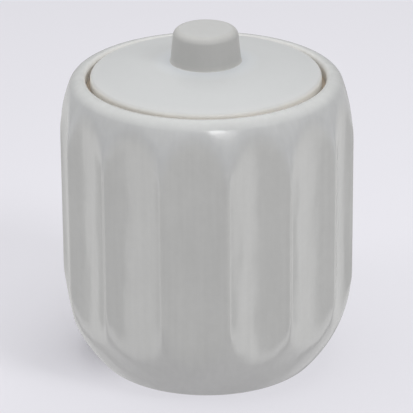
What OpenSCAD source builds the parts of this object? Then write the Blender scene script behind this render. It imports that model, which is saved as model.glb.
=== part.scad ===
// Lidded stoneware jar for cotton pads. A round jar with vertical scooped flutes that end in
// arches at the shoulder and at the base, a domed lid that drops into a ledge inside the rim,
// and a round knob set on the crown of the lid. All lengths are in millimetres. Z is up, the
// foot ring stands on z = 0, the axis of the jar is x = y = 0, and a flute faces -Y.

/* [Jar] */
// Diameter over the crests of the ridges
jar_d = 95.5; // [86:0.5:110]
// Height of the jar from its foot to the crest of its rim
jar_h = 98; // [88:1:120]
// Thickness of the wall behind the deepest line of a flute
wall_t = 5; // [4:0.25:6]
// Thickness of the floor above the recess in the foot
floor_t = 4.5; // [3.5:0.25:7]
// Height over which the shoulder curves in to the rim
shoulder_h = 23; // [20:0.5:27]
// Radius of the outer roll of the rim
rim_round = 4.25; // [3:0.25:5]
// Radius of the inner roll of the rim
rim_lip_round = 1.5; // [1:0.25:2]
// Height over which the wall curves in to the foot
base_h = 32; // [24:1:36]
// Radius of the inner corner between wall and floor
floor_corner = 18; // [12:1:22]

/* [Foot] */
// Diameter of the foot where the outside meets the table
foot_d = 67; // [60:1:72]
// Radius of the turn from the side into the foot
foot_round = 3.5; // [2.5:0.5:5]
// Width of the flat bare ring that the jar stands on
foot_w = 3.5; // [2.5:0.5:6]
// Depth of the recess inside the foot ring
foot_recess = 1.5; // [1:0.25:2.5]
// Radius of the corner in the foot recess
foot_corner = 1; // [0.5:0.25:1]

/* [Flutes] */
// Number of flutes round the jar
flute_count = 14; // [12:1:16]
// Depth of a flute at its middle, below the crests of the ridges
flute_depth = 2.4; // [2:0.1:3]
// Radius of the rounded crest between two flutes
ridge_round = 1.5; // [1:0.25:2.5]
// How far the turned body stood proud of the ridges before the flutes were cut
turned_skin = 0.2; // [0.1:0.05:0.4]

/* [Lid seat] */
// Diameter of the mouth inside the rim
mouth_d = 77.5; // [72:0.5:79]
// Diameter of the throat inside the ledge
throat_d = 69; // [66:0.5:70]
// Depth of the ledge below the crest of the rim
ledge_depth = 4.5; // [3.5:0.25:6]
// Thickness of the ledge at the throat
ledge_t = 5.5; // [4:0.5:7]
// Radius of the curve under the ledge
ledge_curve = 8; // [6:0.5:9]
// Radius of the softened inner edge of the ledge
ledge_round = 1; // [0.5:0.25:1.5]

/* [Lid] */
// Gap between the edge of the lid and the mouth, all round
lid_gap = 1.45; // [0.8:0.05:2]
// Height of the edge of the lid above the ledge
lid_edge_h = 5.4; // [4.5:0.1:7]
// Radius of the rounded top edge of the lid
lid_round = 1.5; // [1:0.25:2]
// Radius of the small rounding under the edge of the lid
lid_under_round = 0.6; // [0.4:0.1:0.8]
// Rise of the dome of the lid from its edge to its crown
dome_rise = 4.6; // [3:0.2:6]
// Thickness of the lid under the dome
lid_t = 5; // [4:0.25:6]
// Gap between the locating ring of the lid and the throat, all round
ring_gap = 0.8; // [0.5:0.1:1.2]
// Thickness of the locating ring
ring_t = 3.5; // [3:0.25:5]
// Depth of the locating ring below the ledge
ring_h = 5; // [4:0.5:7]
// Radius of the rounded lower edge of the locating ring
ring_round = 1.5; // [0.5:0.25:1.5]

/* [Knob] */
// Diameter of the knob where it meets the lid
knob_base_d = 22.8; // [20:0.2:26]
// Diameter that the side of the knob would have at its top, were that edge sharp
knob_top_d = 20.6; // [18:0.2:24]
// Height of the knob
knob_h = 10.8; // [8:0.2:14]
// Radius of the rounded top edge of the knob
knob_round = 2.5; // [1:0.25:3]
// Width of the flat round the foot of the knob
knob_flat = 0.5; // [0.2:0.1:1]

/* [Hidden] */
$fn = 96;
// how far cutters reach past what they cut
over = 1;
glaze = [0.80, 0.80, 0.78];
glaze_lid = [0.83, 0.84, 0.83];
glaze_knob = [0.76, 0.76, 0.74];

// The turned body before the flutes are cut
turned_r = jar_d / 2 + turned_skin;
mouth_r = mouth_d / 2;
rim_r = mouth_r + rim_lip_round;
// the roll of the rim takes at most rim_share of what the shoulder draws in
rim_share = 0.8;
shoulder_in = turned_r - rim_r;
rim_roll_r = min(rim_round, rim_share * shoulder_in);
foot_r = foot_d / 2;
throat_r = throat_d / 2;

// Flutes. Each is cut by an upright cylinder outside the jar. Seen from above, the circle of a
// flute just meets the circle that rounds the crest of the ridge on either side of it, and
// crosses it by ridge_bite, so that the two surfaces share a clean edge.
flute_half = 180 / flute_count;
crest_r = jar_d / 2;
valley_r = crest_r - flute_depth;
ridge_c = crest_r - ridge_round;
ridge_bite = 0.02;
meet_r = ridge_round - ridge_bite;
scoop_r = (ridge_c ^ 2 + valley_r ^ 2 - meet_r ^ 2 - 2 * ridge_c * valley_r * cos(flute_half))
    / (2 * (meet_r + ridge_c * cos(flute_half) - valley_r));
scoop_c = valley_r + scoop_r;
// distance from the axis to where flute and crest meet
meet_share = meet_r / (scoop_r + meet_r);
core_r = norm([
    ridge_c + meet_share * (scoop_c * cos(flute_half) - ridge_c),
    meet_share * scoop_c * sin(flute_half)
]);

// The hollow
floor_z = foot_recess + floor_t;
hollow_r = valley_r - wall_t;
ledge_z = jar_h - ledge_depth;
hollow_top = ledge_z - ledge_t;

// The lid
lid_r = mouth_r - lid_gap;
ring_r = throat_r - ring_gap;
ring_inner_r = ring_r - ring_t;
edge_c = lid_r - lid_round;
edge_z = ledge_z + lid_edge_h - lid_round;
dome_up = dome_rise + lid_round;
dome_r = (edge_c ^ 2 + dome_up ^ 2 - lid_round ^ 2) / (2 * dome_rise);
dome_z = edge_z + dome_up - dome_r;
knob_base_r = knob_base_d / 2;
knob_seat_r = knob_base_r + knob_flat;
knob_z = dome_z + sqrt(dome_r ^ 2 - knob_seat_r ^ 2);

// The knob. Its rounded top edge is a circle that touches both its side and its top.
knob_lean = atan2(knob_base_r - knob_top_d / 2, knob_h);
knob_round_z = knob_h - knob_round;
knob_round_x = knob_base_r - (knob_round + knob_round_z * sin(knob_lean)) / cos(knob_lean);

// Two arcs, one inside the other, that carry a wall in by in_w over a height rise_h and end
// level: a large one that leaves the wall, and a small one of radius end_r that it runs into.
function turn_angle(in_w, rise_h, end_r) = 2 * atan2(in_w - end_r, rise_h - end_r);
function turn_radius(in_w, rise_h, end_r) =
    end_r + (rise_h - end_r) / sin(turn_angle(in_w, rise_h, end_r));

// Half outline of a body that narrows from wall_r at z = 0 to wall_r - in_w at z = rise_h.
module turned_end(wall_r, in_w, rise_h, end_r) {
    big_r = turn_radius(in_w, rise_h, end_r);
    join_z = big_r * sin(turn_angle(in_w, rise_h, end_r));
    intersection() {
        translate([wall_r - big_r, 0]) circle(r = big_r);
        square([wall_r, join_z]);
    }
    translate([wall_r - in_w, rise_h - end_r]) circle(r = end_r);
    translate([0, join_z]) square([wall_r - in_w, rise_h - join_z]);
}

// Half outline of a disc of radius r and height h whose lower edge is rounded.
module soft_disc(r, h, round_r) {
    square([r - round_r, h]);
    translate([0, round_r]) square([r, h - round_r]);
    intersection() {
        translate([r - round_r, round_r]) circle(r = round_r);
        square([r, h]);
    }
}

// Half outline of a round opening of radius r and height h that flares at its top over a
// rounded edge, and is open by a further amount above it.
module soft_opening(r, h, round_r, above) {
    square([r, h - round_r]);
    difference() {
        translate([0, h - round_r]) square([r + round_r, round_r + above]);
        translate([r + round_r, h - round_r]) circle(r = round_r);
    }
}

// Half outline of the turned body, solid.
module turned_outline() {
    translate([0, base_h])
        mirror([0, 1])
        turned_end(turned_r, turned_r - foot_r, base_h, foot_round);
    translate([0, base_h]) square([turned_r, jar_h - shoulder_h - base_h]);
    translate([0, jar_h - shoulder_h])
        turned_end(turned_r, shoulder_in, shoulder_h, rim_roll_r);
}

// Half outline of all that is hollow: the room for the pads, the throat and the mouth.
module hollow_outline() {
    curve_z = hollow_top - ledge_curve;
    translate([0, floor_z]) soft_disc(hollow_r, curve_z - floor_z, floor_corner);
    translate([0, curve_z]) square([hollow_r - ledge_curve, ledge_curve]);
    translate([hollow_r - ledge_curve, curve_z]) circle(r = ledge_curve);
    translate([0, curve_z]) soft_opening(throat_r, ledge_z - curve_z, ledge_round, 0);
    translate([0, ledge_z]) soft_opening(mouth_r, ledge_depth, rim_lip_round, over);
}

// Half outline of the shallow recess inside the foot ring.
module foot_recess_outline() {
    translate([0, foot_recess])
        mirror([0, 1])
        soft_disc(foot_r - foot_w, foot_recess + over, foot_corner);
}

// The jar seen from above: a disc with a scoop for each flute, and a round crest on each ridge.
module fluted_plan() {
    difference() {
        circle(r = core_r);
        for (i = [0 : flute_count - 1])
            rotate(-90 + 2 * flute_half * i)
                translate([scoop_c, 0])
                circle(r = scoop_r);
    }
    for (i = [0 : flute_count - 1])
        rotate(-90 + flute_half * (2 * i + 1))
            translate([ridge_c, 0])
            rotate(180)
            circle(r = ridge_round);
}

// The jar: the turned body, hollowed, and kept only inside the fluted plan. Where the shoulder
// and the base are narrower than the plan the flutes run out, which gives their arched ends.
module jar() {
    color(glaze)
        difference() {
            intersection() {
                rotate_extrude() turned_outline();
                translate([0, 0, -over]) linear_extrude(jar_h + 2 * over) fluted_plan();
            }
            rotate_extrude() hollow_outline();
            rotate_extrude() foot_recess_outline();
        }
}

// Half outline of the lid: a dome of even thickness, a thick rounded edge that sits on the
// ledge, a ring below it that keeps the lid centred in the throat, and a flat for the knob.
module lid_outline() {
    difference() {
        union() {
            intersection() {
                translate([0, dome_z]) circle(r = dome_r);
                translate([0, ledge_z]) square([edge_c, knob_z - ledge_z]);
            }
            translate([0, ledge_z]) soft_disc(lid_r, edge_z - ledge_z, lid_under_round);
            translate([edge_c, edge_z]) circle(r = lid_round);
            translate([0, ledge_z - ring_h]) soft_disc(ring_r, ring_h + lid_round, ring_round);
        }
        intersection() {
            translate([0, dome_z]) circle(r = dome_r - lid_t);
            translate([0, ledge_z - ring_h - over])
                square([ring_inner_r, knob_z - ledge_z + ring_h + over]);
        }
    }
}

module lid() {
    color(glaze_lid) rotate_extrude() lid_outline();
}

// Half outline of the knob: a button whose side leans in, with a rounded top edge.
module knob_outline() {
    polygon([
        [0, 0],
        [knob_base_r, 0],
        [knob_round_x + knob_round * cos(knob_lean), knob_round_z + knob_round * sin(knob_lean)],
        [knob_round_x, knob_round_z],
        [knob_round_x, knob_h],
        [0, knob_h]
    ]);
    translate([knob_round_x, knob_round_z]) circle(r = knob_round);
}

module lid_knob() {
    color(glaze_knob) translate([0, 0, knob_z]) rotate_extrude() knob_outline();
}

jar();
lid();
lid_knob();
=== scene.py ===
import bpy
import numpy as np
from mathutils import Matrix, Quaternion, Vector


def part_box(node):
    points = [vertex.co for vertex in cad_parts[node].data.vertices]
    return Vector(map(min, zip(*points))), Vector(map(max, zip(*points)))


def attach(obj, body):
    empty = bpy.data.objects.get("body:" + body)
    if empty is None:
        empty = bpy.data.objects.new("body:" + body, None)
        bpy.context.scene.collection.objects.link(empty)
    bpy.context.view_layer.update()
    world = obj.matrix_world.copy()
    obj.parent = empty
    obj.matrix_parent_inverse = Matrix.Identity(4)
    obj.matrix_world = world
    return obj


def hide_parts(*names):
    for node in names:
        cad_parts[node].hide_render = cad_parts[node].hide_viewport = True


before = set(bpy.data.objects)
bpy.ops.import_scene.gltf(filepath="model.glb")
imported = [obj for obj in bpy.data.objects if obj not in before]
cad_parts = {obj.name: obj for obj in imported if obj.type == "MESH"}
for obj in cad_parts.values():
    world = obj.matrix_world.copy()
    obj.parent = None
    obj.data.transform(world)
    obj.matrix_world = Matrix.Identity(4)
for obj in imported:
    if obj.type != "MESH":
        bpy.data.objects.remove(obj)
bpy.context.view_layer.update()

# A glazed stoneware jar for cotton pads, with scooped flutes, a domed drop-in lid and a round knob.
# Shapes are worked out in millimetres and put into the meshes in metres.
MM = 0.001
JAR_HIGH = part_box("jar")[1] / MM
LID_LOW, LID_HIGH = (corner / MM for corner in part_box("lid"))
KNOB_LOW, KNOB_HIGH = (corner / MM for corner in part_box("lid_knob"))

# Jar: the turned body, a little wider than the ridges that the flutes leave of it
CREST_R = JAR_HIGH.x
JAR_H = JAR_HIGH.z
TURNED_OVER = 0.2
TURNED_R = CREST_R + TURNED_OVER
SHOULDER_H = 23.0
RIM_ROUND = 4.25
LIP_ROUND = 1.5
MOUTH_R = 38.75
BASE_H = 32.0
FOOT_R = 33.5
FOOT_ROUND = 3.5

# Jar: flutes
FLUTES = 14
FLUTE_DEPTH = 2.4
RIDGE_ROUND = 1.5
# the soft edge that the glaze leaves where a flute runs out, and by how much the body has narrowed
# where this softness is reached in full
ARCH_BLEND = 1.5
ARCH_EASE = 0.6

# Jar: ledge, hollow and foot
LEDGE_DROP = 4.5
LEDGE_Z = JAR_H - LEDGE_DROP
LEDGE_T = 5.5
LEDGE_ROUND = 1.0
LEDGE_CURVE = 8.0
THROAT_R = 34.5
HOLLOW_R = 40.35
FLOOR_Z = 6.0
FLOOR_CORNER = 18.0
RECESS_R = 30.0
RECESS_Z = 1.5
RECESS_CORNER = 1.0
FOOT_EDGE = 0.25
# the small round that the glaze leaves at the foot of the mouth and inside the lid's ring
GLAZE_FILLET = 0.5

# Lid, whose thick edge stands LID_EDGE_H over the ledge
LID_R = LID_HIGH.x
LID_EDGE_H = 5.4
LID_ROUND = 1.5
LID_UNDER_ROUND = 0.6
LID_EDGE_Z = LEDGE_Z + LID_EDGE_H - LID_ROUND
DOME_RISE = 4.6
LID_T = 5.0
RING_R = 33.7
RING_INNER_R = 30.2
RING_Z = LID_LOW.z
RING_ROUND = 1.5

# Knob, and how far the flat under it reaches past it
KNOB_R = KNOB_HIGH.x
KNOB_TOP_R = 10.3
KNOB_ROUND = 2.5
KNOB_SEAT = 0.5
# the fillet of glaze at its foot, and where the side leaves it, inwards and upwards as shares of it
KNOB_FILLET = 0.2
SIDE_IN, SIDE_UP = 0.09, 1.2

# Where the clay is bare or the glaze thin on a rounded edge: the angle in degrees at which it ends
FOOT_BARE_TO, FOOT_THIN_TO = -86, -80
LEDGE_BARE_TO = 130
LID_BARE_TO = -30
LID_THIN_TO = 50
# how far the thin glaze of the lid's edge reaches up the dome, in degrees of the dome
DOME_THIN = 1.2
# share of the knob's side over which the thin glaze of its foot ends
KNOB_FOOT_THIN = 0.18
# the angle from which the glaze of the knob's edge turns to the lighter one of its top, which is painted
# light
KNOB_TOP_FROM = 70
# how thin the glaze lies on the crests of the ridges, where 1 is thinnest, and how far the turned
# body has to stand out past a ridge for its crest to show in full
CREST_THIN = 0.08
CREST_EDGE = 0.2
# heights between which the glaze of the upright wall turns to the bluer tint of the shoulder, a painted
# light from above, and the width of the change between the shoulder and a flute, measured along the radius
SKYLIT_FROM, SKYLIT_TO = 72.0, 84.0
SKYLIT_EDGE = 1.6
# how far the painted highlight, a lighter and bluer ring round the foot of the knob, reaches over the lid
KNOB_RING_HIGHLIGHT = 6.0

# Columns of the meshes, round the lid, round the knob and across each flute
LID_COLUMNS = 288
KNOB_COLUMNS = 192
FLUTE_COLUMNS = 36
# how much closer than on average they stand at the middle of a ridge
RIDGE_CLOSER = 0.35

# Camera, fitted to the ellipses of the mouth, the lid and the knob in the photograph
CAM_AZIMUTH = 4.8
CAM_ELEVATION = 22.95
CAM_DISTANCE = 1.045
CAM_CENTRE = Vector((0.0, 0.0, 0.050))
CAM_AIM = Vector((-0.00015, 0.0, 0.0519))
CAM_ROLL = -0.45
CAM_LENS = 278.0

# Colours, linear
GLAZE = (0.540, 0.542, 0.521)
# the shoulder and the spandrels between the flutes, tinted bluer: painted light from above
GLAZE_SHOULDER_SKYLIT = (0.540, 0.547, 0.542)
# the lid: a darker, bluer copy of the body glaze, which is painted shade and the cool tint of light from
# above
GLAZE_LID = (0.524, 0.534, 0.537)
# a painted highlight: the lighter, bluer ring on the lid round the foot of the knob
GLAZE_RING_HIGHLIGHT = (0.562, 0.583, 0.604)
# the knob: darker copies of the glaze, its top a little lighter than its side, which is painted shade and
# light
GLAZE_KNOB = (0.456, 0.455, 0.442)
GLAZE_KNOB_TOP_LIT = (0.475, 0.477, 0.472)
# warm thin glaze on edges, made pale enough to be painted light too: it lifts the lid's side where it lies
# in shade in the gap under the rim
GLAZE_THIN_AND_PAINTED_LIGHT = (0.820, 0.795, 0.750)
CLAY = (0.560, 0.480, 0.390)
SPECK = (0.10, 0.085, 0.07)
FLOOR_PAPER = (0.782, 0.774, 0.822)

# Patterns in the glaze, in features to the metre
CLOUDS_SCALE, FINE_SCALE, RUNS_SCALE, WOBBLE_SCALE = 45.0, 400.0, 520.0, 160.0
WAVES_SCALE, PEEL_SCALE, GRAIN_SCALE = 120.0, 650.0, 2600.0
# how far runs and waves are drawn out upright
RUNS_DRAWN = (1, 1, 0.05)
WAVES_DRAWN = (1, 1, 0.35)
# depth in metres of a wave of full height
RELIEF_DEPTH = 0.00016
# specks: cells to the metre, the share of cells without one, and inner and outer radius in cells
SPECKS_SCALE = 80.0
SPECKS_MISSING = 0.72
SPECK_CORE, SPECK_EDGE = 0.022, 0.04
BARE_ROUGH = 0.85

# Brightness of the studio as the glaze reflects it, with directions in degrees
CANOPY_LEVEL = 1.8
# elevations between which the canopy comes in, and how much higher it does so behind, as a sine
CANOPY_RISE = (-6.0, 48.0)
CANOPY_RAISE = 0.35
STUDIO_LEVEL = 0.35
# upright panels under the canopy: azimuth right of the camera, half the width, and what each adds
# to the level of the studio
PANELS = (
    (-70, 15, 1.45),
    (-119, 9, 0.80),
    (55, 10, 2.00),
    (102, 14, 1.30),
    (150, 14, 0.45),
    (-158, 14, 0.35),
)
PANEL_SOFT = 3.5
# elevations between which the panels end above, and between which all gives way to a level below
PANEL_END = (-23.0, -2.0)
BELOW_RISE = (-72.0, -35.0)
BELOW_LEVEL = 0.45
# a small bright window in front and above, whose glint shows under the rim: azimuth and elevation,
# half the width and half the height, its level, and how soft its edges are across and up
WINDOW = (10, 25, 8, 8, 9.5)
WINDOW_SOFT = (2, 1)

# Light that falls on the object
KEY_AZIMUTH = 50
# lamps: azimuth right of the camera, elevation, distance, width, height and level
TOP_BOX = (0, 85, 1.0, 0.9, 0.9, 0.40)
KEY_BOX = (KEY_AZIMUTH, 40, 1.0, 0.3, 0.3, 0.24)
# the fill from all round, and how much stronger it is on the side away from the key
FILL_LEVEL = 0.64
FILL_TILT = 0.60

# Floor, in metres
FLOOR_HALF = 2.0
# share of its light that is its own, behind on the left and in front on the right, and the values
# of X less Y between which it changes
FLOOR_GLOW = (0.05, 0.76)
FLOOR_CHANGE = (-0.05, 0.01)


def arc(centre, radius, start, end, steps):
    """Points on a circle: centre plus radius times (cos a, sin a), a even from start to end degrees."""
    a = np.radians(np.linspace(start, end, steps + 1))
    return np.array(centre) + radius * np.column_stack([np.cos(a), np.sin(a)])


def straight(start, end, steps):
    """Points on a straight stretch: start plus t times (end - start), t even from 0 to 1."""
    t = np.linspace(0, 1, steps + 1)[:, None]
    return np.array(start) + t * (np.array(end) - np.array(start))


def marked(points, thin=(0, 0), bare=0, thick=(0, 0)):
    """Points of a stretch with three more columns: how thin the glaze lies and how much painted light it
    gets, each of which runs evenly from its first to its second value, and how bare the clay is."""
    count = len(points)
    thin, thick = np.linspace(*thin, count), np.linspace(*thick, count)
    return np.column_stack([points, thin, thick, np.full(count, bare)])


def joined(*stretches):
    """Stretches of points one after another, without the points that repeat, as rows of radius,
    height, thin, painted light and bare."""
    rows = np.vstack([s if s.shape[1] == 5 else marked(s) for s in stretches])
    step = np.linalg.norm(np.diff(rows[:, :2], axis=0), axis=1)
    return rows[np.append(True, step > 1e-4)]


def two_arc_turn(wall_r, in_w, rise_h, end_r):
    """Centre radius, radius and angle of the large arc that leaves a wall upright, and runs after
    rise_h less a small arc of radius end_r into a level line in_w further in."""
    angle = 2 * np.arctan2(in_w - end_r, rise_h - end_r)
    radius = end_r + (rise_h - end_r) / np.sin(angle)
    return wall_r - radius, radius, np.degrees(angle)


def ringed_mesh(name, rings, ends):
    """A closed mesh of rings of points, each joined to the next by quads. A fan of triangles joins
    the first ring to the first of the two end points, and another the last ring to the second."""
    count, columns = rings.shape[:2]
    ring, column = np.meshgrid(np.arange(count - 1), np.arange(columns), indexing="ij")
    beside = (column + 1) % columns
    quads = np.stack([
        ring * columns + column,
        ring * columns + beside,
        (ring + 1) * columns + beside,
        (ring + 1) * columns + column,
    ], axis=-1).reshape(-1, 4)
    here = np.arange(columns)
    there = (here + 1) % columns
    top = (count - 1) * columns
    end = np.full(columns, count * columns)
    first = np.column_stack([end, there, here])
    last = np.column_stack([top + here, top + there, end + 1])
    points = np.vstack([rings.reshape(-1, 3), ends]) * MM
    mesh = bpy.data.meshes.new(name)
    mesh.from_pydata(points.tolist(), [], quads.tolist() + first.tolist() + last.tolist())
    return mesh


def turned_piece(name, profile, columns, material, flutes=False):
    """A closed solid of revolution. Ring i at angle t is (R cos t, R sin t, z_i), where R is the
    radius r_i of the profile or, with flutes, what they leave of it. The profile starts on the axis
    underneath, goes out, up the outside and back to the axis on top or inside, so that angle crossed
    with profile points outwards. Its last three columns become the attributes for thin glaze, painted
    light and bare clay. With flutes, the angles from the middle of a flute are moved by RIDGE_CLOSER
    sin(FLUTES t) / FLUTES, the glaze is a little thin on the crests, and the shoulder between the
    flutes gets painted light, a bluer tint as from above."""
    t = np.linspace(0, 2 * np.pi, columns, endpoint=False)
    r, z, thin, thick, bare = (np.repeat(row[1:-1, None], columns, axis=1) for row in profile.T)
    if flutes:
        t = t + RIDGE_CLOSER * np.sin(FLUTES * (t + np.pi / 2)) / FLUTES
        r, crest, cut = fluted(r, t[None, :])
        thin = np.maximum(thin, CREST_THIN * crest)
        # painted light: the shoulder between the flutes takes the bluer tint of light from above
        thick = (1 - cut) * np.clip((z - SKYLIT_FROM) / (SKYLIT_TO - SKYLIT_FROM), 0, 1)
    rings = np.stack([r * np.cos(t), r * np.sin(t), z], axis=-1)
    mesh = ringed_mesh(name, rings, [[0, 0, profile[0, 1]], [0, 0, profile[-1, 1]]])
    for mark, grid, column in (("thin", thin, 2), ("thick", thick, 3), ("bare", bare, 4)):
        values = np.append(grid.ravel(), profile[[0, -1], column]).astype(np.float32)
        mesh.attributes.new(mark, "FLOAT", "POINT").data.foreach_set("value", values)
    mesh.shade_smooth()
    mesh.update()
    piece = bpy.data.objects.new(name, mesh)
    bpy.context.scene.collection.objects.link(piece)
    piece.data.materials.append(material)
    return piece


def fluted_plan(angle):
    """Distance from the axis to the fluted outline at each angle, and 1 at the middle of a ridge
    falling to 0 where it meets a flute. A flute is a circle of radius scoop_r whose centre lies
    scoop_c out: the near root of the cosine rule. A ridge is a circle of RIDGE_ROUND whose centre
    lies ridge_c out: the far root. The two circles touch."""
    half = np.pi / FLUTES
    valley_r = CREST_R - FLUTE_DEPTH
    ridge_c = CREST_R - RIDGE_ROUND
    scoop_r = (ridge_c ** 2 + valley_r ** 2 - RIDGE_ROUND ** 2 - 2 * ridge_c * valley_r * np.cos(half)) / (
        2 * (RIDGE_ROUND + ridge_c * np.cos(half) - valley_r))
    scoop_c = valley_r + scoop_r
    share = RIDGE_ROUND / (scoop_r + RIDGE_ROUND)
    meet = np.arctan2(share * scoop_c * np.sin(half), ridge_c + share * (scoop_c * np.cos(half) - ridge_c))
    from_flute = np.abs((angle + np.pi / 2 + half) % (2 * half) - half)
    from_ridge = half - from_flute
    flute = scoop_c * np.cos(from_flute) - np.sqrt(
        np.maximum(scoop_r ** 2 - (scoop_c * np.sin(from_flute)) ** 2, 0))
    ridge = ridge_c * np.cos(from_ridge) + np.sqrt(
        np.maximum(RIDGE_ROUND ** 2 - (ridge_c * np.sin(from_ridge)) ** 2, 0))
    return np.where(from_ridge < meet, ridge, flute), np.clip(1 - from_ridge / meet, 0, 1)


def fluted(r, angle):
    """The turned radius kept inside the fluted outline, how much of a ridge's crest each place is,
    and how far a flute has cut it. Where the two outlines are within ARCH_BLEND, the smaller one is
    eased by h * h * ARCH_BLEND / 4, h being 1 where they cross and 0 at the ends of that band, so
    the arched ends of the flutes are as soft as the glaze leaves them. The easing sets in over the
    first ARCH_EASE by which the body narrows, so upright ridges keep their height."""
    plan, crest = fluted_plan(angle)
    h = np.maximum(ARCH_BLEND - np.abs(r - plan), 0) / ARCH_BLEND
    narrowed = np.clip((TURNED_R - r) / ARCH_EASE, 0, 1)
    eased = np.minimum(r, plan) - narrowed * h * h * ARCH_BLEND / 4
    crest = np.clip((r - plan) / CREST_EDGE, 0, 1) * crest
    cut = np.clip((r - plan) / SKYLIT_EDGE + 0.5, 0, 1)
    return eased, crest, cut


def jar_profile():
    """Outline of the jar from the middle of its underside, over the foot ring, up the outside, over
    the rim and down to the middle of its floor."""
    base_c, base_r, base_a = two_arc_turn(TURNED_R, TURNED_R - FOOT_R, BASE_H, FOOT_ROUND)
    top_in = TURNED_R - MOUTH_R - LIP_ROUND
    top_c, top_r, top_a = two_arc_turn(TURNED_R, top_in, SHOULDER_H, RIM_ROUND)
    rim_r = MOUTH_R + LIP_ROUND
    curve_z = LEDGE_Z - LEDGE_T - LEDGE_CURVE
    curve_c = HOLLOW_R - LEDGE_CURVE
    curve_a = np.degrees(np.arccos((THROAT_R - curve_c) / LEDGE_CURVE))
    curve_top = curve_z + LEDGE_CURVE * np.sin(np.radians(curve_a))
    foot = (FOOT_R, FOOT_ROUND)
    mouth_foot = (MOUTH_R - GLAZE_FILLET, LEDGE_Z + GLAZE_FILLET)
    throat_top = (THROAT_R + LEDGE_ROUND, LEDGE_Z - LEDGE_ROUND)
    corner = (HOLLOW_R - FLOOR_CORNER, FLOOR_Z + FLOOR_CORNER)
    return joined(
        straight((0, RECESS_Z), (RECESS_R - RECESS_CORNER, RECESS_Z), 3),
        arc((RECESS_R - RECESS_CORNER, RECESS_Z - RECESS_CORNER), RECESS_CORNER, 90, 0, 4),
        marked(arc((RECESS_R + FOOT_EDGE, FOOT_EDGE), FOOT_EDGE, 180, 270, 3), bare=1),
        marked(arc(foot, FOOT_ROUND, -90, FOOT_BARE_TO, 2), bare=1),
        marked(arc(foot, FOOT_ROUND, FOOT_BARE_TO, FOOT_THIN_TO, 3), thin=(1, 0.7)),
        marked(arc(foot, FOOT_ROUND, FOOT_THIN_TO, -base_a, 6), thin=(0.7, 0)),
        arc((base_c, BASE_H), base_r, -base_a, 0, 44),
        straight((TURNED_R, BASE_H), (TURNED_R, JAR_H - SHOULDER_H), 12),
        arc((top_c, JAR_H - SHOULDER_H), top_r, 0, top_a, 44),
        arc((rim_r, JAR_H - RIM_ROUND), RIM_ROUND, top_a, 90, 14),
        marked(arc((rim_r, JAR_H - LIP_ROUND), LIP_ROUND, 90, 180, 10), thin=(0, 0.6)),
        marked(straight((MOUTH_R, JAR_H - LIP_ROUND), (MOUTH_R, mouth_foot[1]), 3), thin=(0.6, 0.3)),
        marked(arc(mouth_foot, GLAZE_FILLET, 0, -90, 4), bare=1),
        marked(arc(throat_top, LEDGE_ROUND, 90, LEDGE_BARE_TO, 3), bare=1),
        marked(arc(throat_top, LEDGE_ROUND, LEDGE_BARE_TO, 180, 4), thin=(0.8, 0.3)),
        straight((THROAT_R, throat_top[1]), (THROAT_R, curve_top), 3),
        arc((curve_c, curve_z), LEDGE_CURVE, curve_a, 0, 8),
        straight((HOLLOW_R, curve_z), (HOLLOW_R, corner[1]), 4),
        arc(corner, FLOOR_CORNER, 0, -90, 14),
        straight((corner[0], FLOOR_Z), (0, FLOOR_Z), 4),
    )


def lid_profile():
    """Outline of the lid from the middle of its hollow underside, over the locating ring and round the
    heavy edge to the crown of the dome."""
    edge = (LID_R - LID_ROUND, LID_EDGE_Z)
    dome_up = DOME_RISE + LID_ROUND
    dome_r = (edge[0] ** 2 + dome_up ** 2 - LID_ROUND ** 2) / (2 * DOME_RISE)
    dome = (0, LID_EDGE_Z + dome_up - dome_r)
    lean = np.degrees(np.arctan2(LID_EDGE_Z - dome[1], edge[0]))
    inner = np.degrees(np.arccos(RING_INNER_R / (dome_r - LID_T)))
    under_top = dome[1] + (dome_r - LID_T) * np.sin(np.radians(inner))
    seat_r = KNOB_R + KNOB_SEAT
    seat = np.degrees(np.arccos(seat_r / dome_r))
    seat_z = dome[1] + dome_r * np.sin(np.radians(seat))
    ring_highlight = np.degrees(np.arccos((seat_r + KNOB_RING_HIGHLIGHT) / dome_r))
    ring_inner = (RING_INNER_R + GLAZE_FILLET, RING_Z + GLAZE_FILLET)
    ring_outer = (RING_R - RING_ROUND, RING_Z + RING_ROUND)
    under = (LID_R - LID_UNDER_ROUND, LEDGE_Z + LID_UNDER_ROUND)
    return joined(
        arc(dome, dome_r - LID_T, 90, inner, 12),
        straight((RING_INNER_R, under_top), (RING_INNER_R, ring_inner[1]), 3),
        marked(arc(ring_inner, GLAZE_FILLET, 180, 270, 4), thin=(0, 0.6)),
        marked(arc(ring_outer, RING_ROUND, -90, 0, 8), thin=(0.6, 0.2)),
        straight((RING_R, ring_outer[1]), (RING_R, LEDGE_Z), 3),
        marked(arc(under, LID_UNDER_ROUND, -90, LID_BARE_TO, 4), bare=1),
        marked(arc(under, LID_UNDER_ROUND, LID_BARE_TO, 0, 2), thin=(1, 0.4)),
        # thin glaze, and painted light: its pale colour lifts the side that lies in shade in the gap under
        # the rim
        marked(straight((LID_R, under[1]), (LID_R, LID_EDGE_Z), 6), thin=(0.7, 1)),
        marked(arc(edge, LID_ROUND, 0, LID_THIN_TO, 7), thin=(1, 0.15)),
        marked(arc(edge, LID_ROUND, LID_THIN_TO, lean, 6), thin=(0.15, 0.05)),
        marked(arc(dome, dome_r, lean, lean + DOME_THIN, 3), thin=(0.05, 0)),
        arc(dome, dome_r, lean + DOME_THIN, ring_highlight, 34),
        # a painted highlight: the lighter ring round the foot of the knob
        marked(arc(dome, dome_r, ring_highlight, seat, 10), thick=(0, 1)),
        marked(straight((seat_r, seat_z), (0, seat_z), 4), thick=(1, 1)),
    )


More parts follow.
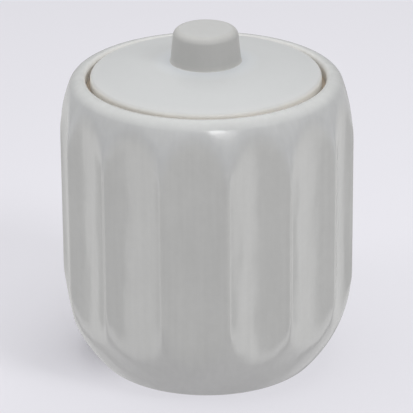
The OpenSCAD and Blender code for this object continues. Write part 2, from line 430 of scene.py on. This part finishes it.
def knob_profile():
    """Outline of the knob: a flat base, a small fillet of glaze at its foot, a side that leans in
    and a rounded top edge, over which the top is level."""
    foot_z, top_z = KNOB_LOW.z, KNOB_HIGH.z
    height = top_z - foot_z
    lean = np.arctan2(KNOB_R - KNOB_TOP_R, height)
    round_z = height - KNOB_ROUND
    round_r = KNOB_R - (KNOB_ROUND + round_z * np.sin(lean)) / np.cos(lean)
    edge = np.array((round_r, foot_z + round_z))
    side_top = edge + KNOB_ROUND * np.array((np.cos(lean), np.sin(lean)))
    side_foot = np.array((KNOB_R - SIDE_IN * KNOB_FILLET, foot_z + SIDE_UP * KNOB_FILLET))
    side_mid = side_foot + KNOB_FOOT_THIN * (side_top - side_foot)
    fillet = (KNOB_R + KNOB_FILLET, foot_z + KNOB_FILLET)
    return joined(
        marked(straight((0, foot_z), (KNOB_R + KNOB_FILLET, foot_z), 3), bare=1),
        marked(arc(fillet, KNOB_FILLET, 270, 190, 5), thin=(0, 0.15)),
        marked(straight(side_foot, side_mid, 4), thin=(0.15, 0)),
        straight(side_mid, side_top, 10),
        arc(edge, KNOB_ROUND, np.degrees(lean), KNOB_TOP_FROM, 9),
        # painted light: the knob's top gets a lighter glaze than its side
        marked(arc(edge, KNOB_ROUND, KNOB_TOP_FROM, 90, 4), thick=(0, 1)),
        marked(straight((round_r, top_z), (0, top_z), 8), thick=(1, 1)),
    )


def new_material(name):
    """A material with nodes, its tree and its Principled BSDF."""
    material = bpy.data.materials.new(name)
    material.use_nodes = True
    return material, material.node_tree, material.node_tree.nodes["Principled BSDF"]


def node_group(name, inputs, outputs):
    """An empty shader node group, with its input and output nodes. Each input is a name, a socket
    type and a default value, each output a name and a type."""
    group = bpy.data.node_groups.new(name, "ShaderNodeTree")
    for label, kind, value in inputs:
        socket = group.interface.new_socket(label, in_out="INPUT", socket_type="NodeSocket" + kind)
        if value is not None:
            socket.default_value = value
    for label, kind in outputs:
        group.interface.new_socket(label, in_out="OUTPUT", socket_type="NodeSocket" + kind)
    return group, group.nodes.new("NodeGroupInput").outputs, group.nodes.new("NodeGroupOutput").inputs


def put(tree, value, socket):
    """Feeds a socket with another socket, or gives it a plain value."""
    if isinstance(value, bpy.types.NodeSocket):
        tree.links.new(value, socket)
    else:
        socket.default_value = value


def math(tree, kind, first, second=0.0):
    """The output of a Math node of that kind; each of first and second is a socket or a number."""
    node = tree.nodes.new("ShaderNodeMath")
    node.operation = kind
    put(tree, first, node.inputs[0])
    put(tree, second, node.inputs[1])
    return node.outputs[0]


def ramp(tree, value, start, end, low=0.0, high=1.0):
    """The output of a smooth Map Range node from low at start to high at end."""
    node = tree.nodes.new("ShaderNodeMapRange")
    node.interpolation_type = "SMOOTHSTEP"
    tree.links.new(value, node.inputs["Value"])
    for name, number in (("From Min", start), ("From Max", end), ("To Min", low), ("To Max", high)):
        node.inputs[name].default_value = number
    return node.outputs["Result"]


def blend(tree, factor, first, second):
    """The colour output of a Mix node; each of factor, first and second is a socket or a value."""
    node = tree.nodes.new("ShaderNodeMix")
    node.data_type = "RGBA"
    put(tree, factor, node.inputs["Factor"])
    put(tree, first, node.inputs[6])
    put(tree, second, node.inputs[7])
    return node.outputs[2]


def noise(tree, place, scale, detail=2.0, stretch=None):
    """Cloudy noise about 0, in features of about 1 / scale metres, stretched by scaling its axes."""
    if stretch is not None:
        turn = tree.nodes.new("ShaderNodeMapping")
        turn.inputs["Scale"].default_value = stretch
        tree.links.new(place, turn.inputs["Vector"])
        place = turn.outputs["Vector"]
    node = tree.nodes.new("ShaderNodeTexNoise")
    node.inputs["Scale"].default_value = scale
    node.inputs["Detail"].default_value = detail
    tree.links.new(place, node.inputs["Vector"])
    return math(tree, "SUBTRACT", node.outputs["Fac"], 0.5)


def glaze_colour_group():
    """Colour and roughness of a fired glaze: clouds and runs in its depth, a second colour where painted
    light is marked, warmer and paler where it lies thin, which is partly painted light, bare clay where
    it was wiped off, and a few iron specks."""
    tree, given, result = node_group("glaze_colour", (
        ("Place", "Vector", None),
        ("Glaze", "Color", (*GLAZE, 1)),
        ("Painted Light Glaze", "Color", (*GLAZE_SHOULDER_SKYLIT, 1)),
        ("Thin Glaze And Painted Light", "Color", (*GLAZE_THIN_AND_PAINTED_LIGHT, 1)),
        ("Clay", "Color", (*CLAY, 1)),
        ("Painted Light", "Float", 0.0),
        ("Thin", "Float", 0.0),
        ("Bare", "Float", 0.0),
        ("Clouds", "Float", 0.05),
        ("Runs", "Float", 0.03),
        ("Specks", "Float", 0.6),
        ("Gloss", "Float", 0.2),
    ), (("Colour", "Color"), ("Roughness", "Float")))
    place = given["Place"]
    clouds = math(tree, "MULTIPLY", noise(tree, place, CLOUDS_SCALE, 3.0), given["Clouds"])
    fine_depth = math(tree, "MULTIPLY", given["Clouds"], 0.6)
    fine = math(tree, "MULTIPLY", noise(tree, place, FINE_SCALE, 3.0), fine_depth)
    runs = math(tree, "MULTIPLY", noise(tree, place, RUNS_SCALE, 3.0, RUNS_DRAWN), given["Runs"])
    shade = math(tree, "ADD", math(tree, "ADD", clouds, fine), math(tree, "ADD", runs, 1.0))
    wobble = math(tree, "MULTIPLY", noise(tree, place, WOBBLE_SCALE), 0.6)
    thin = math(tree, "MULTIPLY", given["Thin"], math(tree, "ADD", wobble, 1.0))
    thin = math(tree, "MINIMUM", math(tree, "MAXIMUM", thin, 0.0), 1.0)
    bare = ramp(tree, math(tree, "ADD", given["Bare"], math(tree, "MULTIPLY", wobble, 0.5)), 0.4, 0.6)
    spots = tree.nodes.new("ShaderNodeTexVoronoi")
    spots.inputs["Scale"].default_value = SPECKS_SCALE
    tree.links.new(place, spots.inputs["Vector"])
    picked = tree.nodes.new("ShaderNodeSeparateColor")
    tree.links.new(spots.outputs["Color"], picked.inputs["Color"])
    rare = math(tree, "GREATER_THAN", picked.outputs["Red"], SPECKS_MISSING)
    spot = ramp(tree, spots.outputs["Distance"], SPECK_CORE, SPECK_EDGE, 1.0, 0.0)
    speck = math(tree, "MULTIPLY", math(tree, "MULTIPLY", rare, spot), given["Specks"])
    lit = tree.nodes.new("ShaderNodeVectorMath")
    lit.operation = "SCALE"
    # painted light: the second glaze colour stands in for light on the shoulder, round the knob's foot and
    # on the knob's top
    glaze = blend(tree, given["Painted Light"], given["Glaze"], given["Painted Light Glaze"])
    # the thin glaze's pale colour is partly painted light
    tree.links.new(blend(tree, thin, glaze, given["Thin Glaze And Painted Light"]), lit.inputs[0])
    tree.links.new(shade, lit.inputs["Scale"])
    colour = blend(tree, speck, lit.outputs[0], (*SPECK, 1))
    tree.links.new(blend(tree, bare, colour, given["Clay"]), result["Colour"])
    rough = math(tree, "ADD", given["Gloss"], math(tree, "MULTIPLY", fine, 0.8))
    clay_rough = math(tree, "MULTIPLY", bare, BARE_ROUGH)
    tree.links.new(math(tree, "MAXIMUM", rough, clay_rough), result["Roughness"])
    return tree


def glaze_relief_group():
    """Normal of a fired glaze: long shallow waves, a fine orange peel, and the grain of bare clay."""
    tree, given, result = node_group("glaze_relief", (
        ("Place", "Vector", None),
        ("Bare", "Float", 0.0),
        ("Waves", "Float", 1.0),
        ("Peel", "Float", 0.12),
    ), (("Normal", "Vector"),))
    place = given["Place"]
    waves = math(tree, "MULTIPLY", noise(tree, place, WAVES_SCALE, 1.0, WAVES_DRAWN), given["Waves"])
    peel = math(tree, "MULTIPLY", noise(tree, place, PEEL_SCALE, 1.0), given["Peel"])
    clay_grain = math(tree, "MULTIPLY", given["Bare"], 0.4)
    grain = math(tree, "MULTIPLY", noise(tree, place, GRAIN_SCALE, 3.0), clay_grain)
    bump = tree.nodes.new("ShaderNodeBump")
    bump.inputs["Strength"].default_value = 1.0
    bump.inputs["Distance"].default_value = RELIEF_DEPTH
    tree.links.new(math(tree, "ADD", math(tree, "ADD", waves, peel), grain), bump.inputs["Height"])
    tree.links.new(bump.outputs["Normal"], result["Normal"])
    return tree


GLAZE_COLOUR = glaze_colour_group()
GLAZE_RELIEF = glaze_relief_group()


def glaze_material(name, glaze, thick_glaze, gloss, clouds, runs, specks, waves):
    """A glaze over a stoneware body, driven by the mesh's attributes for painted light, thin glaze and
    bare clay.
    """
    material, tree, shader = new_material(name)
    place = tree.nodes.new("ShaderNodeTexCoord").outputs["Object"]
    marks = {}
    for mark in ("thick", "thin", "bare"):
        node = tree.nodes.new("ShaderNodeAttribute")
        node.attribute_name = mark
        marks[mark] = node.outputs["Fac"]
    paint = tree.nodes.new("ShaderNodeGroup")
    paint.node_tree = GLAZE_COLOUR
    relief = tree.nodes.new("ShaderNodeGroup")
    relief.node_tree = GLAZE_RELIEF
    for group in (paint, relief):
        tree.links.new(place, group.inputs["Place"])
        tree.links.new(marks["bare"], group.inputs["Bare"])
    tree.links.new(marks["thick"], paint.inputs["Painted Light"])
    tree.links.new(marks["thin"], paint.inputs["Thin"])
    colours = (("Glaze", glaze), ("Painted Light Glaze", thick_glaze), ("Thin Glaze And Painted Light", GLAZE_THIN_AND_PAINTED_LIGHT), ("Clay", CLAY))
    for label, value in colours:
        paint.inputs[label].default_value = (*value, 1)
    for label, value in (("Clouds", clouds), ("Runs", runs), ("Specks", specks), ("Gloss", gloss)):
        paint.inputs[label].default_value = value
    relief.inputs["Waves"].default_value = waves
    tree.links.new(paint.outputs["Colour"], shader.inputs["Base Color"])
    tree.links.new(paint.outputs["Roughness"], shader.inputs["Roughness"])
    tree.links.new(relief.outputs["Normal"], shader.inputs["Normal"])
    shader.inputs["IOR"].default_value = 1.5
    return material


body_glaze = glaze_material(
    "body_glaze", GLAZE, GLAZE_SHOULDER_SKYLIT, gloss=0.17, clouds=0.11, runs=0.10, specks=0.75, waves=2.2)
lid_glaze = glaze_material(
    "lid_glaze", GLAZE_LID, GLAZE_RING_HIGHLIGHT, gloss=0.40, clouds=0.05, runs=0.0, specks=0.5, waves=0.5)
knob_glaze = glaze_material(
    "knob_glaze", GLAZE_KNOB, GLAZE_KNOB_TOP_LIT, gloss=0.42, clouds=0.07, runs=0.05, specks=0.0, waves=0.6)

jar_shell = turned_piece("jar_shell", jar_profile(), FLUTES * FLUTE_COLUMNS, body_glaze, flutes=True)
lid_shell = turned_piece("lid_shell", lid_profile(), LID_COLUMNS, lid_glaze)
knob_shell = turned_piece("knob_shell", knob_profile(), KNOB_COLUMNS, knob_glaze)
for piece, body, node, finish in (
    (jar_shell, "jar", "jar", "glazed_body"),
    (lid_shell, "lid", "lid", "glazed_lid"),
    (knob_shell, "lid", "lid_knob", "glazed_knob"),
):
    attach(piece, body)
    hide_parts(node)


def toward(azimuth, elevation):
    """Direction from the object to something seen at that azimuth, right of the camera, and elevation."""
    a, e = np.radians([CAM_AZIMUTH + azimuth, elevation])
    return Vector((np.sin(a) * np.cos(e), -np.cos(a) * np.cos(e), np.sin(e)))


def studio_floor():
    """A pale floor. Part of its light is its own, so that shadows on it stay soft: little of it
    behind and on the left, where the shadow of the jar falls, and most of it in front and on the
    right. The glaze sees the studio through the floor, as it would see panels in a glossy table."""
    corners = [(x * FLOOR_HALF, y * FLOOR_HALF, 0) for x, y in ((-1, -1), (1, -1), (1, 1), (-1, 1))]
    mesh = bpy.data.meshes.new("floor")
    mesh.from_pydata(corners, [], [(0, 1, 2, 3)])
    floor = bpy.data.objects.new("floor", mesh)
    bpy.context.scene.collection.objects.link(floor)
    material, tree, shader = new_material("floor_paper")
    shader.inputs["Base Color"].default_value = (*FLOOR_PAPER, 1)
    shader.inputs["Roughness"].default_value = 0.9
    shader.inputs["Specular IOR Level"].default_value = 0.0
    glow = tree.nodes.new("ShaderNodeEmission")
    glow.inputs["Color"].default_value = (*FLOOR_PAPER, 1)
    clear = tree.nodes.new("ShaderNodeBsdfTransparent")
    path = tree.nodes.new("ShaderNodeLightPath")
    place = tree.nodes.new("ShaderNodeTexCoord")
    apart = tree.nodes.new("ShaderNodeSeparateXYZ")
    tree.links.new(place.outputs["Object"], apart.inputs["Vector"])
    aside = math(tree, "SUBTRACT", apart.outputs["X"], apart.outputs["Y"])
    lit = tree.nodes.new("ShaderNodeMixShader")
    tree.links.new(ramp(tree, aside, *FLOOR_CHANGE, *FLOOR_GLOW), lit.inputs["Fac"])
    seen = tree.nodes.new("ShaderNodeMixShader")
    tree.links.new(path.outputs["Is Glossy Ray"], seen.inputs["Fac"])
    tree.links.new(shader.outputs["BSDF"], lit.inputs[1])
    tree.links.new(glow.outputs["Emission"], lit.inputs[2])
    tree.links.new(lit.outputs["Shader"], seen.inputs[1])
    tree.links.new(clear.outputs["BSDF"], seen.inputs[2])
    tree.links.new(seen.outputs["Shader"], tree.nodes["Material Output"].inputs["Surface"])
    mesh.materials.append(material)


def rise(tree, height, elevations, low=0.0, high=1.0):
    """A level that turns from low to high as a height, the sine of an elevation, passes from the
    first elevation to the second."""
    start, end = np.sin(np.radians(elevations))
    return ramp(tree, height, start, end, low, high)


def stretch_of(tree, angle, centre, half, soft, level):
    """A level for angles within half of a centre, which ends over the angle soft on either side."""
    away = math(tree, "ABSOLUTE", math(tree, "SUBTRACT", angle, float(np.radians(centre))))
    return ramp(tree, away, np.radians(half - soft), np.radians(half + soft), level, 0)


def reflected_level(tree, right, behind, up):
    """Brightness of the studio in a direction, given to the right of the camera, away from it and up:
    the panels up to where they end, over the plain level, giving way to the level below; the canopy
    in place of both from where it comes in; and the window."""
    azimuth = math(tree, "ARCTAN2", right, math(tree, "MULTIPLY", behind, -1))
    raised = math(tree, "MULTIPLY", math(tree, "MAXIMUM", behind, 0.0), CANOPY_RAISE)
    canopy = rise(tree, math(tree, "SUBTRACT", up, raised), CANOPY_RISE)
    panels = 0.0
    for centre, half, bright in PANELS:
        panels = math(tree, "ADD", stretch_of(tree, azimuth, centre, half, PANEL_SOFT, bright), panels)
    level = math(tree, "MULTIPLY", panels, rise(tree, up, PANEL_END, 1, 0))
    level = math(tree, "ADD", level, STUDIO_LEVEL)
    over = math(tree, "MULTIPLY", math(tree, "SUBTRACT", level, BELOW_LEVEL), rise(tree, up, BELOW_RISE))
    level = math(tree, "ADD", over, BELOW_LEVEL)
    beside = math(tree, "MULTIPLY", level, math(tree, "SUBTRACT", 1.0, canopy))
    seen = math(tree, "ADD", beside, math(tree, "MULTIPLY", canopy, CANOPY_LEVEL))
    centre, lift, half_w, half_h, bright = WINDOW
    across = stretch_of(tree, azimuth, centre, half_w, WINDOW_SOFT[0], bright)
    upright = stretch_of(tree, math(tree, "ARCSINE", up), lift, half_h, WINDOW_SOFT[1], 1)
    return math(tree, "ADD", seen, math(tree, "MULTIPLY", across, upright))


def fill_level(tree, right, behind):
    """Strength of the fill from a direction: FILL_LEVEL times one plus FILL_TILT times how far the
    direction points away from the key."""
    key = np.radians(KEY_AZIMUTH)
    left_part = math(tree, "MULTIPLY", right, -float(np.sin(key)))
    back_part = math(tree, "MULTIPLY", behind, float(np.cos(key)))
    tilt = math(tree, "MULTIPLY", math(tree, "ADD", left_part, back_part), FILL_TILT)
    return math(tree, "MULTIPLY", math(tree, "ADD", tilt, 1.0), FILL_LEVEL)


def studio_world():
    """The surroundings, which the glaze's reflections see as a canopy over panels, and all else as a
    soft fill. Directions are turned to the camera's: X to its right, Y away from it and Z up."""
    world = bpy.data.worlds.new("studio")
    bpy.context.scene.world = world
    world.use_nodes = True
    tree = world.node_tree
    back = tree.nodes["Background"]
    back.inputs["Color"].default_value = (1, 1, 1, 1)
    place = tree.nodes.new("ShaderNodeTexCoord")
    turn = tree.nodes.new("ShaderNodeVectorRotate")
    turn.rotation_type = "Z_AXIS"
    turn.inputs["Angle"].default_value = -np.radians(CAM_AZIMUTH)
    apart = tree.nodes.new("ShaderNodeSeparateXYZ")
    tree.links.new(place.outputs["Generated"], turn.inputs["Vector"])
    tree.links.new(turn.outputs["Vector"], apart.inputs["Vector"])
    right, behind, up = (apart.outputs[axis] for axis in "XYZ")
    path = tree.nodes.new("ShaderNodeLightPath")
    mix = tree.nodes.new("ShaderNodeMix")
    tree.links.new(path.outputs["Is Glossy Ray"], mix.inputs["Factor"])
    tree.links.new(fill_level(tree, right, behind), mix.inputs["A"])
    tree.links.new(reflected_level(tree, right, behind, up), mix.inputs["B"])
    tree.links.new(mix.outputs["Result"], back.inputs["Strength"])


def softbox(name, azimuth, elevation, distance, width, height, level):
    """An area lamp that gives a white surface facing it at the object the brightness level."""
    lamp = bpy.data.lights.new(name, "AREA")
    lamp.shape = "RECTANGLE"
    lamp.size, lamp.size_y = width, height
    lamp.energy = level * (np.pi * distance) ** 2
    box = bpy.data.objects.new(name, lamp)
    box.location = CAM_AIM + distance * toward(azimuth, elevation)
    box.rotation_mode = "QUATERNION"
    box.rotation_quaternion = toward(azimuth, elevation).to_track_quat("Z", "Y")
    box.visible_glossy = False
    bpy.context.scene.collection.objects.link(box)


def studio_camera():
    """The camera, CAM_DISTANCE from a point on the axis, looking at CAM_AIM and rolled a little."""
    lens = bpy.data.cameras.new("camera")
    lens.lens = CAM_LENS
    lens.clip_start, lens.clip_end = 0.05, 20
    camera = bpy.data.objects.new("camera", lens)
    camera.location = CAM_CENTRE + CAM_DISTANCE * toward(0, CAM_ELEVATION)
    camera.rotation_mode = "QUATERNION"
    look = (camera.location - CAM_AIM).to_track_quat("Z", "Y")
    camera.rotation_quaternion = look @ Quaternion((0, 0, 1), np.radians(CAM_ROLL))
    bpy.context.scene.collection.objects.link(camera)
    bpy.context.scene.camera = camera


studio_camera()
studio_floor()
studio_world()
softbox("top_box", *TOP_BOX)
softbox("key_box", *KEY_BOX)
bpy.context.scene.view_settings.view_transform = "Standard"
